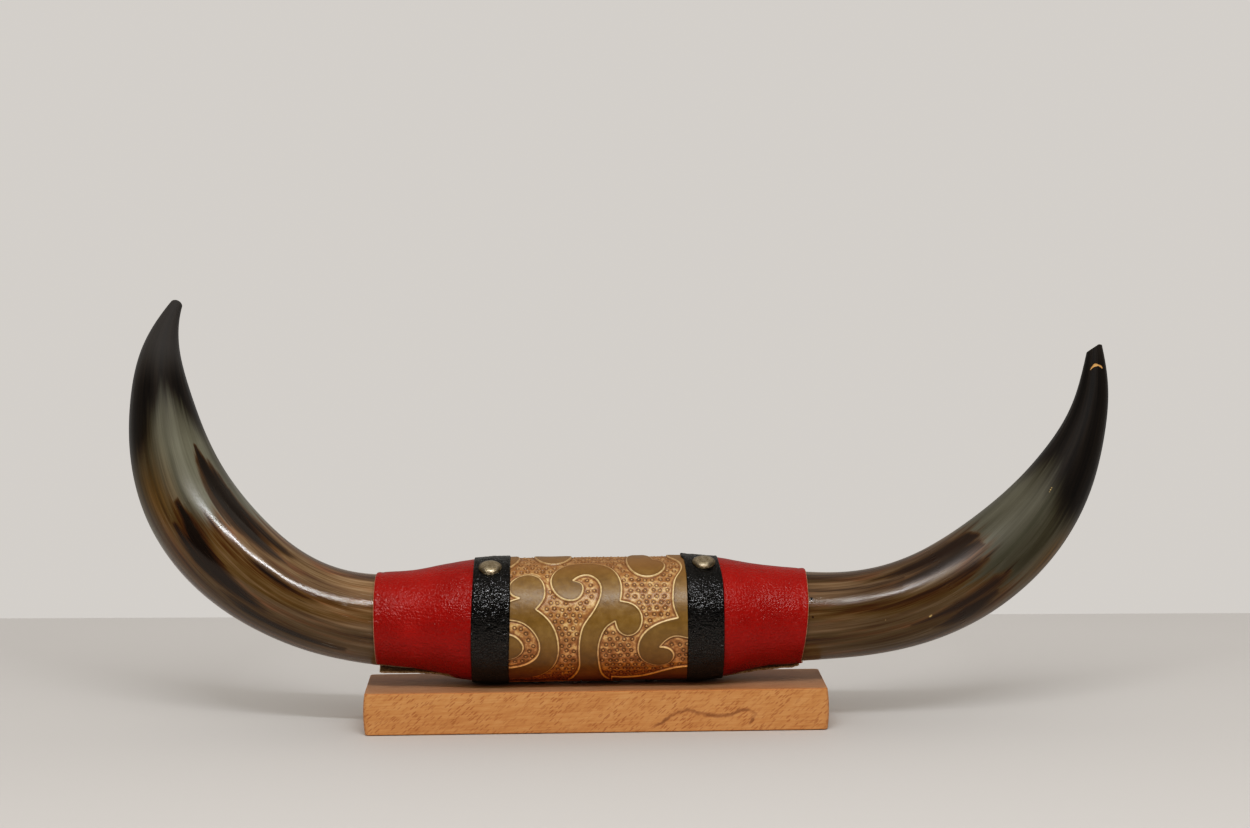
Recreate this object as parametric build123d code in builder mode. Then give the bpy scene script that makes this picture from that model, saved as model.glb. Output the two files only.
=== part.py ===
from build123d import *
from math import cos, radians, sin
import os

# A mounted pair of cattle horns: two hollow horns spring from a leather covered wooden core that
# lies along X on a rectangular wooden block. Millimetres, +Z up, +X to the viewer's right, with
# the origin at the middle of the block's underside.

# Wooden block
block_length = 300          # at half height, where the end faces bulge furthest
block_end_bulge = 1
block_depth = 70
block_height = 27
block_corner_radius = 3
block_edge_radius = 0.8

# Turned wooden core, with its axis along X
axis_height = 68.6
core_radius = 38.8
core_left = -118
core_right = 113
core_end_radius = 31
core_left_shoulder = -74
core_right_shoulder = 74
core_left_neck = (-97, 35.3)    # (x, radius) part way down each end's taper
core_right_neck = (95, 34.9)

# Leather
wrap_thickness = 2
collar_thickness = 1.4
seam_gap = 0.8
fin_thickness = 2.8
collar_left = -143
collar_right = 138.5

# Straps that cover the joints between the middle wrap and the collars
strap_thickness = 0.9
strap_width = 24
strap_left = -67.5
strap_right = 70.5
joint_past_strap = 5        # the joint lies this far outboard of the strap's middle

# Horns: distances along the axis from the hidden base, each with the radius there
left_lean = 22
right_lean = 14
left_radii = {0: 31, 26: 29.4, 89: 29.6, 137: 31.7, 187: 29.7, 220: 25.8, 253: 20.2, 287: 12.5,
              303: 8.2, 312: 5.9, 319.5: 4.2}
right_radii = {0: 31, 29: 28.8, 92: 28.3, 140: 28.9, 172: 27.7, 204: 24.5, 236: 19.5, 268: 13.6,
               301: 8.5, 321: 4.6}
horn_depth_ratio = 0.9      # depth over width of a section, once it is clear of the collar
tip_rounding = 3.5
cavity_length = 175
wall_at_base = 4.5
wall_growth = 22            # added to the wall by the end of the hollow, as the distance squared
cavity_end_radius = 5

# Plugs and dowels that hold the horns to the core
plug_depth = 32
dowel_radius = 8
dowel_length = 60
brad_radius = 1
brad_length = 15
brad_setback = 10
brad_sink = 0.6
brad_angles = (45, 135, 225, 315)

# Dome nails
nail_head_radius = 7.5
nail_head_height = 3.2
nail_rim_thickness = 0.5
nail_shank_radius = 1.2
nail_shank_depth = 22
left_nail_angle = 26        # forward of straight up
right_nail_angle = 21

# Tacks
tack_head_radius = 2.5
tack_head_thickness = 0.7
tack_shank_radius = 0.75
tack_shank_depth = 12
wrap_tack_spacing = 26
wrap_tack_rows = 4
wrap_tack_angle = 8.5       # either side of straight down
strap_tack_spacing = 12
strap_tack_angle = -155     # behind, low down

# Screws that hold the core on the block
screw_spacing = 70
screw_length = 58
screw_radius = 2.5
screw_point_length = 6
screw_head_radius = 4.8
screw_head_height = 3.2
screw_slot_width = 1.2
screw_slot_depth = 1.4
screw_recess_radius = 6
screw_recess_depth = 7
screw_clearance = 0.25

wrap_radius = core_radius + wrap_thickness
strap_radius = wrap_radius + strap_thickness
wrap_left = strap_left - joint_past_strap
wrap_right = strap_right + joint_past_strap
body_axis = Axis((0, 0, axis_height), (1, 0, 0))
profile_plane = Plane(origin=(0, 0, axis_height), x_dir=(1, 0, 0), z_dir=(0, -1, 0))

os.makedirs("parts", exist_ok=True)


def write(part, name):
    """Label a finished piece and write its file."""
    part.label = name
    export_step(part, f"parts/{name}.step")


def outward(angle):
    """The direction square to the body axis, at an angle forward of straight up."""
    return Vector(0, -sin(radians(angle)), cos(radians(angle)))


def radial_plane(x, angle, distance):
    """A plane square to the outward direction, at a distance from the body axis."""
    origin = Vector(x, 0, axis_height) + outward(angle) * distance
    return Plane(origin=origin, x_dir=(1, 0, 0), z_dir=outward(angle))


def across_plane(x):
    """A plane square to the body axis, centred on it."""
    return Plane(origin=(x, 0, axis_height), x_dir=(0, 1, 0), z_dir=(1, 0, 0))


# Working shapes -----------------------------------------------------------------------------

# The core before it is drilled: a barrel that narrows in an S curve to the horns' bases.
with BuildPart() as core_blank:
    with BuildSketch(profile_plane):
        with BuildLine():
            Polyline(
                (core_left, core_end_radius),
                (core_left, 0),
                (core_right, 0),
                (core_right, core_end_radius),
            )
            Spline(
                (core_right, core_end_radius),
                core_right_neck,
                (core_right_shoulder, core_radius),
                tangents=((-1, 0.08), (-1, 0.02)),
            )
            Line((core_right_shoulder, core_radius), (core_left_shoulder, core_radius))
            Spline(
                (core_left_shoulder, core_radius),
                core_left_neck,
                (core_left, core_end_radius),
                tangents=((-1, -0.02), (-1, -0.08)),
            )
        make_face()
    revolve(axis=body_axis)


def horn_axis(lean, start, *points, end_angle):
    """A horn's centreline: a spline in a plane that leans back. It leaves the core along X, and
    its end points at an angle from +X in that plane."""
    plane = Plane(
        origin=(0, 0, axis_height),
        x_dir=(1, 0, 0),
        z_dir=(0, -cos(radians(lean)), sin(radians(lean))),
    )
    away = Vector(1 if start > 0 else -1, 0, 0)
    onward = plane.x_dir * cos(radians(end_angle)) + plane.y_dir * sin(radians(end_angle))
    with BuildLine(plane) as line:
        Spline((start, 0), *points, tangents=(away, onward))
    return line.edge()


def horn_solid(axis_line, lean, radii):
    """Oval sections lofted along a centreline. They are round where they meet the core."""
    across = (0, -cos(radians(lean)), sin(radians(lean)))
    with BuildPart() as solid:
        for distance, radius in radii.items():
            depth_ratio = 1 - (1 - horn_depth_ratio) * min(1, distance / 90)
            at = axis_line.position_at(distance, position_mode=PositionMode.LENGTH)
            along = axis_line.tangent_at(distance, position_mode=PositionMode.LENGTH)
            with BuildSketch(Plane(origin=at, x_dir=across, z_dir=along)):
                Ellipse(radius * depth_ratio, radius)
        loft()
    return solid


def cavity_radii(radii):
    """Radii of the hollow: the outer radii less a wall that thickens towards the tip."""
    inner = {}
    for distance, radius in radii.items():
        if distance < cavity_length - 20:
            wall = wall_at_base + wall_growth * (distance / cavity_length) ** 2
            inner[distance] = radius - wall
    inner[cavity_length] = cavity_end_radius
    return inner


left_axis = horn_axis(
    left_lean, core_left,
    (-175, 7.5), (-230, 38.5), (-269.7, 90), (-286.4, 152), (-287.3, 187), (-277.6, 219.6),
    end_angle=64,
)
right_axis = horn_axis(
    right_lean, core_right,
    (173, 1.2), (219.4, 12.6), (260.8, 36.3), (295.4, 69.5), (320.5, 110.7), (331.2, 143),
    (334.6, 180),
    end_angle=88,
)

with BuildPart() as left_horn_blank:
    add(horn_solid(left_axis, left_lean, left_radii).part)
    tip_face = left_horn_blank.faces().filter_by(GeomType.PLANE).sort_by(Axis.Z)[-1]
    fillet(tip_face.edges(), tip_rounding)

# The right tip is cut off at a slant, falling towards the middle of the object.
tip_cut = Plane(
    origin=(338.5, 43, 242),
    x_dir=(0, 1, 0),
    z_dir=(-0.54, 0.2, 0.84),
)
with BuildPart() as right_horn_blank:
    add(horn_solid(right_axis, right_lean, right_radii).part)
    split(bisect_by=tip_cut, keep=Keep.BOTTOM)

left_cavity = horn_solid(left_axis, left_lean, cavity_radii(left_radii))
right_cavity = horn_solid(right_axis, right_lean, cavity_radii(right_radii))


def collar_blank(inboard, shoulder, neck, outboard, outer_radius, fin):
    """A collar's outer shape before the core and horn are taken out of it: a turned form with a
    flat seam fin underneath, which is an outline of (x, z) points."""
    side = 1 if outboard > 0 else -1
    with BuildPart() as blank:
        with BuildSketch(profile_plane):
            with BuildLine():
                Spline(
                    (shoulder[0], shoulder[1]),
                    neck,
                    (outboard, outer_radius),
                    tangents=((side, -0.06), (side, -0.06)),
                )
                Polyline(
                    (outboard, outer_radius),
                    (outboard, 0),
                    (inboard, 0),
                    (inboard, wrap_radius),
                    (shoulder[0], shoulder[1]),
                )
            make_face()
        revolve(axis=body_axis)
        with BuildSketch(Plane.XZ):
            with BuildLine():
                Polyline(*fin, close=True)
            make_face()
        extrude(amount=fin_thickness / 2, both=True)
    return blank


left_collar_blank = collar_blank(
    inboard=wrap_left,
    shoulder=(-80, 39.3),
    neck=(-99, 36.4),
    outboard=collar_left,
    outer_radius=31,
    fin=[(-143, 45), (-143, 34), (-116, 33.5), (-100, 31.5), (-91, 29.5), (-81, 28.2), (-81, 45)],
)
right_collar_blank = collar_blank(
    inboard=wrap_right,
    shoulder=(83, 38.4),
    neck=(100, 35.1),
    outboard=collar_right,
    outer_radius=30.6,
    fin=[(83.5, 45), (83.5, 29), (96, 31.8), (108, 34.2), (129, 35.6), (138.5, 36.5), (138.5, 45)],
)

with BuildPart() as wrap_blank:
    with BuildSketch(across_plane(wrap_left)):
        Circle(wrap_radius)
    extrude(amount=wrap_right - wrap_left)


# Fasteners ----------------------------------------------------------------------------------


def pin(x, angle, inner, outer, radius):
    """A straight round pin along the outward direction."""
    with BuildPart() as peg:
        with BuildSketch(radial_plane(x, angle, inner)):
            Circle(radius)
        extrude(amount=outer - inner)
    return peg.part


def brads(x, surface_radius):
    """Four headless brads, driven flush through a horn's base into its plug."""
    with BuildPart() as group:
        for angle in brad_angles:
            top = surface_radius - brad_sink
            add(pin(x, angle, top - brad_length, top, brad_radius))
    return group


def dome_nail(x, angle):
    """An upholstery nail: a low dome whose flat underside meets the strap, and a round shank."""
    plane = Plane(origin=(x, 0, axis_height), x_dir=(1, 0, 0), z_dir=outward(angle + 90))
    rim = strap_radius + nail_rim_thickness
    crown = strap_radius + nail_head_height
    with BuildPart() as nail:
        with BuildSketch(plane):
            with BuildLine():
                ThreePointArc(
                    (0, crown),
                    (nail_head_radius * 0.62, rim + (crown - rim) * 0.63),
                    (nail_head_radius, rim),
                )
                Polyline(
                    (nail_head_radius, rim),
                    (nail_head_radius, strap_radius),
                    (nail_shank_radius, strap_radius),
                    (nail_shank_radius, strap_radius - nail_shank_depth),
                    (0, strap_radius - nail_shank_depth),
                    (0, crown),
                )
            make_face()
        revolve(axis=Axis((x, 0, axis_height), outward(angle)))
    return nail


def tack(x, angle, surface_radius):
    """A flat headed tack, its head on the leather's surface."""
    head_top = surface_radius + tack_head_thickness
    with BuildPart() as nail:
        add(pin(x, angle, surface_radius, head_top, tack_head_radius))
        add(pin(x, angle, surface_radius - tack_shank_depth, surface_radius, tack_shank_radius))
    return nail.part


def strap_tacks(x):
    """Two tacks, side by side, through a strap's lapped end."""
    with BuildPart() as group:
        for offset in (-strap_tack_spacing / 2, strap_tack_spacing / 2):
            add(tack(x + offset, strap_tack_angle, strap_radius))
    return group


left_horn_brads = brads(core_left - brad_setback, 30.4)
right_horn_brads = brads(core_right + brad_setback, 30.3)
left_dome_nail = dome_nail(strap_left, left_nail_angle)
right_dome_nail = dome_nail(strap_right, right_nail_angle)
left_strap_tacks = strap_tacks(strap_left)
right_strap_tacks = strap_tacks(strap_right)

with BuildPart() as wrap_tacks:
    for row in range(wrap_tack_rows):
        tack_x = (row - (wrap_tack_rows - 1) / 2) * wrap_tack_spacing
        for side in (-1, 1):
            add(tack(tack_x, 180 + side * wrap_tack_angle, wrap_radius))


def base_screw(x):
    """A pan headed wood screw, point up, with one slot in its head."""
    head_bottom = screw_recess_depth - screw_head_height
    top = screw_recess_depth + screw_length
    with BuildPart() as screw:
        with BuildSketch(Plane(origin=(x, 0, 0), x_dir=(1, 0, 0), z_dir=(0, -1, 0))):
            with BuildLine():
                Polyline(
                    (0, head_bottom),
                    (screw_head_radius * 0.6, head_bottom),
                    (screw_head_radius, head_bottom + screw_head_height * 0.5),
                    (screw_head_radius, screw_recess_depth),
                    (screw_radius, screw_recess_depth),
                    (screw_radius, top - screw_point_length),
                    (0, top),
                    close=True,
                )
            make_face()
        revolve(axis=Axis((x, 0, 0), (0, 0, 1)))
        with BuildSketch(Plane.XY.offset(head_bottom)):
            with Locations((x, 0)):
                Rectangle(2 * screw_head_radius, screw_slot_width)
        extrude(amount=screw_slot_depth, mode=Mode.SUBTRACT)
    return screw


base_screw_left = base_screw(-screw_spacing / 2)
base_screw_right = base_screw(screw_spacing / 2)


def dowel(end_of_core):
    """A round dowel, half in the core and half in the horn's plug."""
    with BuildPart() as peg:
        with BuildSketch(across_plane(end_of_core - dowel_length / 2)):
            Circle(dowel_radius)
        extrude(amount=dowel_length)
        chamfer(peg.edges().filter_by(GeomType.CIRCLE), 1)
    return peg


left_dowel = dowel(core_left)
right_dowel = dowel(core_right)


def take_out(*pieces):
    """Cut the space of other pieces out of the part being made."""
    for piece in pieces:
        add(piece.part, mode=Mode.SUBTRACT)


# Block --------------------------------------------------------------------------------------

with BuildPart() as base_block:
    half = block_length / 2
    flat_half = half - block_end_bulge
    with BuildSketch(Plane.XZ):
        with BuildLine():
            Line((-flat_half, 0), (flat_half, 0))
            ThreePointArc((flat_half, 0), (half, block_height / 2), (flat_half, block_height))
            Line((flat_half, block_height), (-flat_half, block_height))
            ThreePointArc((-flat_half, block_height), (-half, block_height / 2), (-flat_half, 0))
        make_face()
    extrude(amount=block_depth / 2, both=True)
    end_faces = base_block.faces().sort_by(Axis.X)
    upright_edges = [edge for face in (end_faces[0], end_faces[-1])
                     for edge in face.edges().filter_by(GeomType.CIRCLE)]
    fillet(upright_edges, block_corner_radius)
    fillet(base_block.faces().sort_by(Axis.Z)[-1].edges(), block_edge_radius)
    fillet(base_block.faces().sort_by(Axis.Z)[0].edges(), block_edge_radius)
    with Locations(Plane(origin=(0, 0, 0), x_dir=(1, 0, 0), z_dir=(0, 0, -1))):
        with GridLocations(screw_spacing, 1, 2, 1):
            CounterBoreHole(
                screw_radius + screw_clearance,
                screw_recess_radius,
                screw_recess_depth,
            )

# Core, plugs and horns ----------------------------------------------------------------------

with BuildPart() as core:
    add(core_blank.part)
    take_out(
        left_dowel, right_dowel, left_dome_nail, right_dome_nail, wrap_tacks,
        left_strap_tacks, right_strap_tacks, base_screw_left, base_screw_right,
    )

with BuildPart() as left_plug:
    add(left_cavity.part)
    split(bisect_by=Plane.YZ.offset(core_left - plug_depth), keep=Keep.TOP)
    take_out(left_dowel, left_horn_brads)

with BuildPart() as right_plug:
    add(right_cavity.part)
    split(bisect_by=Plane.YZ.offset(core_right + plug_depth), keep=Keep.BOTTOM)
    take_out(right_dowel, right_horn_brads)

with BuildPart() as left_horn:
    add(left_horn_blank.part)
    take_out(left_cavity, left_horn_brads)

with BuildPart() as right_horn:
    add(right_horn_blank.part)
    take_out(right_cavity, right_horn_brads)

# Leather ------------------------------------------------------------------------------------

with BuildPart() as tooled_wrap:
    add(wrap_blank.part)
    with BuildSketch(Plane(origin=(0, 0, axis_height - wrap_radius), z_dir=(0, 0, 1))):
        with Locations(((wrap_left + wrap_right) / 2, 0)):
            Rectangle(wrap_right - wrap_left + 2, seam_gap)
    extrude(amount=wrap_thickness + 1, mode=Mode.SUBTRACT)
    take_out(
        core_blank, left_dome_nail, right_dome_nail, wrap_tacks,
        left_strap_tacks, right_strap_tacks, base_screw_left, base_screw_right,
    )

with BuildPart() as left_collar:
    add(left_collar_blank.part)
    take_out(core_blank, left_horn_blank, left_strap_tacks)

with BuildPart() as right_collar:
    add(right_collar_blank.part)
    take_out(core_blank, right_horn_blank, right_strap_tacks)


def strap(x, collar, nail, tacks):
    """A strap round the body. It rests on the block, so it is flattened at the block's top."""
    with BuildPart() as band:
        with BuildSketch(across_plane(x - strap_width / 2)):
            Circle(strap_radius)
        extrude(amount=strap_width)
        split(bisect_by=Plane.XY.offset(block_height), keep=Keep.TOP)
        take_out(wrap_blank, collar, nail, tacks)
    return band


left_strap = strap(strap_left, left_collar_blank, left_dome_nail, left_strap_tacks)
right_strap = strap(strap_right, right_collar_blank, right_dome_nail, right_strap_tacks)

# Files --------------------------------------------------------------------------------------

write(base_block.part, "base_block")
write(core.part, "core")
write(left_plug.part, "left_plug")
write(right_plug.part, "right_plug")
write(left_dowel.part, "left_dowel")
write(right_dowel.part, "right_dowel")
write(left_horn.part, "left_horn")
write(right_horn.part, "right_horn")
write(left_horn_brads.part, "left_horn_brads")
write(right_horn_brads.part, "right_horn_brads")
write(tooled_wrap.part, "tooled_wrap")
write(left_collar.part, "left_collar")
write(right_collar.part, "right_collar")
write(left_strap.part, "left_strap")
write(right_strap.part, "right_strap")
write(left_dome_nail.part, "left_dome_nail")
write(right_dome_nail.part, "right_dome_nail")
write(wrap_tacks.part, "wrap_tacks")
write(left_strap_tacks.part, "left_strap_tacks")
write(right_strap_tacks.part, "right_strap_tacks")
write(base_screw_left.part, "base_screw_left")
write(base_screw_right.part, "base_screw_right")
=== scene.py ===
"""Looks for a mounted pair of cattle horns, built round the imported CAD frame.

Shapes are worked out in millimetres in the CAD frame and scaled to metres as each mesh is made.
Angles round the body axis are in degrees forward of straight up, so 90 faces the viewer.
"""
import math

import bpy
import numpy as np
from mathutils import Matrix, Vector, noise


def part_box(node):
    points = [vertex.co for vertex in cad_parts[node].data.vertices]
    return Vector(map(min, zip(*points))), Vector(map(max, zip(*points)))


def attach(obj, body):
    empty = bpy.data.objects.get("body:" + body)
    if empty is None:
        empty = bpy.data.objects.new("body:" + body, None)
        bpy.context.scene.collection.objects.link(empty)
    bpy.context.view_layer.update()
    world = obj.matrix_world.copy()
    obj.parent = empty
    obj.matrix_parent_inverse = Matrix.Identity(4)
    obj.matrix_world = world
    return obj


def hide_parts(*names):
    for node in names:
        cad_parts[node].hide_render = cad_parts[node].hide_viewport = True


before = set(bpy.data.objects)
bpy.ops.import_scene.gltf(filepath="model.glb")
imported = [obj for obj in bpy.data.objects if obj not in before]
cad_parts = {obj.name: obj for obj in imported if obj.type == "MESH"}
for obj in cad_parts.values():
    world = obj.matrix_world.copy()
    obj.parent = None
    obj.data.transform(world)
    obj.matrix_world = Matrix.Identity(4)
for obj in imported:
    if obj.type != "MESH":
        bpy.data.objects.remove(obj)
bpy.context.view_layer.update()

MM = 0.001


def node_box(name):
    """The lowest and highest corners of a CAD node, in millimetres."""
    low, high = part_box(name)
    return np.array(low) / MM, np.array(high) / MM


def node_middle(name):
    low, high = node_box(name)
    return (low + high) / 2


def node_size(name):
    low, high = node_box(name)
    return high - low


# Places taken from the frame

AXIS_Z = node_middle("core")[2]
CORE_RADIUS = node_size("core")[1] / 2
WRAP_RADIUS = node_size("tooled_wrap")[1] / 2
STRAP_RADIUS = node_size("left_strap")[1] / 2
STRAP_WIDTH = node_size("left_strap")[0]
LEFT_STRAP_X = node_middle("left_strap")[0]
RIGHT_STRAP_X = node_middle("right_strap")[0]
BLOCK_TOP = node_box("base_block")[1][2]


# Small helpers


def smooth(value, low, high):
    """0 below low, 1 above high, eased between. It works on arrays."""
    t = np.clip((np.asarray(value, float) - low) / (high - low), 0, 1)
    return t * t * (3 - 2 * t)


def bell(value, centre, width):
    return np.exp(-(((np.asarray(value, float) - centre) / width) ** 2))


def cubic(knots, values, start=None, end=None):
    """A cubic spline through values at knots, with end slopes where given."""
    t = np.asarray(knots, float)
    y = np.asarray(values, float).reshape(len(t), -1)
    count, h = len(t), np.diff(t)
    rows, right = np.zeros((count, count)), np.zeros_like(y)
    for i in range(1, count - 1):
        rows[i, i - 1:i + 2] = h[i], 2 * (h[i] + h[i - 1]), h[i - 1]
        before, after = (y[i] - y[i - 1]) / h[i - 1], (y[i + 1] - y[i]) / h[i]
        right[i] = 3 * (h[i] * before + h[i - 1] * after)
    rows[0, :2] = (1, 0) if start is not None else (2, 1)
    right[0] = start if start is not None else 3 * (y[1] - y[0]) / h[0]
    rows[-1, -2:] = (0, 1) if end is not None else (1, 2)
    right[-1] = end if end is not None else 3 * (y[-1] - y[-2]) / h[-1]
    slope = np.linalg.solve(rows, right)

    def at(x):
        x = np.asarray(x, float)
        i = np.clip(np.searchsorted(t, x) - 1, 0, count - 2)
        width = h[i][..., None]
        u = ((x - t[i]) / h[i])[..., None]
        return ((1 + 2 * u) * (1 - u) ** 2 * y[i] + u * (1 - u) ** 2 * width * slope[i]
                + u * u * (3 - 2 * u) * y[i + 1] + u * u * (u - 1) * width * slope[i + 1])

    return at


def lengths_along(points):
    steps = np.linalg.norm(np.diff(points, axis=0), axis=1)
    return np.concatenate([[0], np.cumsum(steps)])


def wobble(points, scale, seed):
    """Smooth noise, about -1 to 1, at each point of an array of (..., 3) points."""
    flat = np.asarray(points, float).reshape(-1, 3) / scale + seed * 17.3
    values = [noise.noise(Vector(p)) for p in flat]
    return np.array(values).reshape(np.shape(points)[:-1])


def ring_points(x, radius, angle):
    """Points at a radius and angle round the body axis. All three are arrays of one shape."""
    a = np.radians(angle)
    return np.stack([x, -radius * np.sin(a), AXIS_Z + radius * np.cos(a)], -1)


def quads(rows, columns, close_rows=False, close_columns=False):
    """Faces of a grid whose points are numbered row by row."""
    r = np.arange(rows if close_rows else rows - 1)
    c = np.arange(columns if close_columns else columns - 1)
    r, c = (a.ravel() for a in np.meshgrid(r, c, indexing="ij"))
    r2, c2 = (r + 1) % rows, (c + 1) % columns
    corners = (r * columns + c, r * columns + c2, r2 * columns + c2, r2 * columns + c)
    return np.stack(corners, -1)


def mesh_object(name, points, faces, values):
    """A smooth shaded mesh from points in millimetres, with per-point values as attributes. Its
    faces are turned outwards."""
    points = np.asarray(points, float).reshape(-1, 3)
    mesh = bpy.data.meshes.new(name)
    mesh.from_pydata((points * MM).tolist(), [], [tuple(map(int, face)) for face in faces])
    mesh.validate()
    mesh.calc_loop_triangles()
    corners = np.empty(len(mesh.loop_triangles) * 3, np.int32)
    mesh.loop_triangles.foreach_get("vertices", corners)
    a, b, c = np.moveaxis(points[corners.reshape(-1, 3)], 1, 0)
    if (a * np.cross(b, c)).sum() < 0:
        mesh.flip_normals()
    for key, data in values.items():
        data = np.asarray(data, np.float32).reshape(-1)
        kind, field = ("FLOAT", "value") if data.size == len(points) else ("FLOAT_VECTOR", "vector")
        mesh.attributes.new(key, kind, "POINT").data.foreach_set(field, data)
    mesh.polygons.foreach_set("use_smooth", np.ones(len(mesh.polygons), bool))
    mesh.update()
    piece = bpy.data.objects.new(name, mesh)
    bpy.context.scene.collection.objects.link(piece)
    return piece


def band_object(name, outer, inner, values):
    """A closed band round the body axis, from its outer and inner points, row by row."""
    points = np.concatenate([outer, inner], 1)
    faces = quads(*points.shape[:2], close_rows=True, close_columns=True)
    return mesh_object(name, points, faces, values)


def settle(piece, material, node):
    """Give a piece its material, hang it on the root body and hide the CAD node it stands for."""
    piece.data.materials.clear()
    piece.data.materials.append(material)
    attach(piece, "root")
    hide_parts(node)


class Field:
    """The output of a node, which can be added to and multiplied."""

    def __init__(self, nodes, socket):
        self.nodes, self.socket = nodes, socket

    def __add__(self, other):
        return self.nodes.math("ADD", self, other)

    def __sub__(self, other):
        return self.nodes.math("SUBTRACT", self, other)

    def __mul__(self, other):
        return self.nodes.math("MULTIPLY", self, other)

    __radd__, __rmul__ = __add__, __mul__


class Nodes:
    """A node tree in the making. Its methods give fields."""

    def __init__(self, tree):
        self.tree = tree

    def plug(self, value, socket):
        if isinstance(value, Field):
            self.tree.links.new(value.socket, socket)
        else:
            socket.default_value = (*value, 1) if socket.type == "RGBA" else value

    def node(self, kind, inputs=(), output=0, **settings):
        made = self.tree.nodes.new("ShaderNode" + kind)
        for key, value in settings.items():
            setattr(made, key, value)
        for key, value in dict(inputs).items():
            self.plug(value, made.inputs[key])
        return Field(self, made.outputs[output])

    def value(self, name):
        return self.node("Attribute", output="Fac", attribute_name=name)

    def vector(self, name):
        return self.node("Attribute", output="Vector", attribute_name=name)

    def place(self):
        return self.node("TexCoord", output="Object")

    def axis(self, vector, number):
        return self.node("SeparateXYZ", {0: vector}, output=number)

    def math(self, operation, a, b=0.0):
        return self.node("Math", {0: a, 1: b}, operation=operation)

    def scaled(self, vector, scale):
        return self.node("VectorMath", {0: vector, 1: scale}, operation="MULTIPLY")

    def turned(self, vector, rotation, scale=(1, 1, 1)):
        return self.node("Mapping", {"Vector": vector, "Rotation": rotation, "Scale": scale})

    def noise(self, vector, scale=1.0, detail=3.0, roughness=0.55):
        inputs = {"Vector": vector, "Scale": scale, "Detail": detail, "Roughness": roughness}
        return self.node("TexNoise", inputs, output="Fac")

    def cells(self, vector, scale=1.0, feature="F1"):
        inputs = {"Vector": vector, "Scale": scale}
        return self.node("TexVoronoi", inputs, output="Distance", feature=feature)

    def step(self, value, low, high, to_low=0.0, to_high=1.0):
        inputs = {0: value, 1: low, 2: high, 3: to_low, 4: to_high}
        return self.node("MapRange", inputs, interpolation_type="SMOOTHSTEP")

    def band(self, value, low, full_low, full_high, high):
        """1 between the two full values, eased to 0 at low and high."""
        return self.step(value, low, full_low) * self.step(value, high, full_high)

    def ramp(self, value, stops):
        made = self.node("ValToRGB", {"Fac": value})
        elements = made.socket.node.color_ramp.elements
        while len(elements) < len(stops):
            elements.new(0.5)
        for element, (position, colour) in zip(elements, stops):
            element.position, element.color = position, (*colour, 1)
        return made

    def mix(self, amount, a, b, blend="MIX"):
        return self.node("Mix", {0: amount, 6: a, 7: b}, output=2, data_type="RGBA",
                         blend_type=blend)


class Shader(Nodes):
    """A material in the making, round one Principled shader. Its colour is laid on in coats."""

    def __init__(self, name):
        self.material = bpy.data.materials.new(name)
        self.material.use_nodes = True
        super().__init__(self.material.node_tree)
        self.surface = self.tree.nodes["Principled BSDF"]

    def coat(self, amount, colour, blend="MIX"):
        self.colour = self.mix(amount, self.colour, colour, blend)

    def set(self, **inputs):
        for key, value in inputs.items():
            self.plug(value, self.surface.inputs[key.replace("_", " ")])

    def bump(self, height, strength, distance):
        inputs = {"Height": height, "Strength": strength, "Distance": distance}
        self.set(Normal=self.node("Bump", inputs))


# Horns

HORN_DEPTH_RATIO = 0.9
ROUND_UNTIL = 90
HORN_FRONT_COLUMNS, HORN_BACK_COLUMNS = 150, 50
HORN_STEP = 0.8
GRAIN_TWIST = -0.14          # degrees round the horn for each millimetre along it


class Horn:
    """The surface of one horn. A place on it is a distance from the hidden base, and an angle
    round it: 0 on the inner side of the bend, 90 towards the viewer, 180 on the outer side."""

    def __init__(self, side, lean, points, end_angle, radii):
        self.side, self.lean = side, math.radians(lean)
        points = np.array(points, float)
        knots = lengths_along(points)
        end = math.radians(end_angle)
        self.curve = cubic(knots, points, (side, 0), (math.cos(end), math.sin(end)))
        self.parameter = np.linspace(0, knots[-1], 1600)
        self.distance = lengths_along(self.curve(self.parameter))
        self.radius = cubic(list(radii), list(radii.values()))
        self.length = max(radii)

    def point(self, distance, angle, swell=0.0):
        """The surface point at a distance and angle, moved outwards by swell."""
        at = np.interp(distance, self.distance, self.parameter)
        centre = self.curve(at)
        along = self.curve(at + 0.01) - self.curve(at - 0.01)
        along /= np.linalg.norm(along, axis=-1)[..., None]
        inward = np.stack([-along[..., 1], along[..., 0]], -1) * self.side
        radius = self.radius(distance)[..., 0]
        ratio = 1 - (1 - HORN_DEPTH_RATIO) * np.minimum(1, distance / ROUND_UNTIL)
        a = np.radians(angle)
        flat = centre + inward * ((radius + swell) * np.cos(a))[..., None]
        out = (radius * ratio + swell) * np.sin(a)
        y = flat[..., 1] * math.sin(self.lean) - out * math.cos(self.lean)
        z = AXIS_Z + flat[..., 1] * math.cos(self.lean) + out * math.sin(self.lean)
        return np.stack([flat[..., 0], y, z], -1)


left_horn_shape = Horn(
    -1, 22,
    [(-118, 0), (-175, 7.5), (-230, 38.5), (-269.7, 90), (-286.4, 152), (-287.3, 187),
     (-277.6, 219.6)],
    64,
    {0: 31, 26: 29.4, 89: 29.6, 137: 31.7, 187: 29.7, 220: 25.8, 253: 20.2, 287: 12.5, 303: 8.2,
     312: 5.9, 319.5: 4.2},
)
right_horn_shape = Horn(
    1, 14,
    [(113, 0), (173, 1.2), (219.4, 12.6), (260.8, 36.3), (295.4, 69.5), (320.5, 110.7),
     (331.2, 143), (334.6, 180)],
    88,
    {0: 31, 29: 28.8, 92: 28.3, 140: 28.9, 172: 27.7, 204: 24.5, 236: 19.5, 268: 13.6, 301: 8.5,
     321: 4.6},
)


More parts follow.
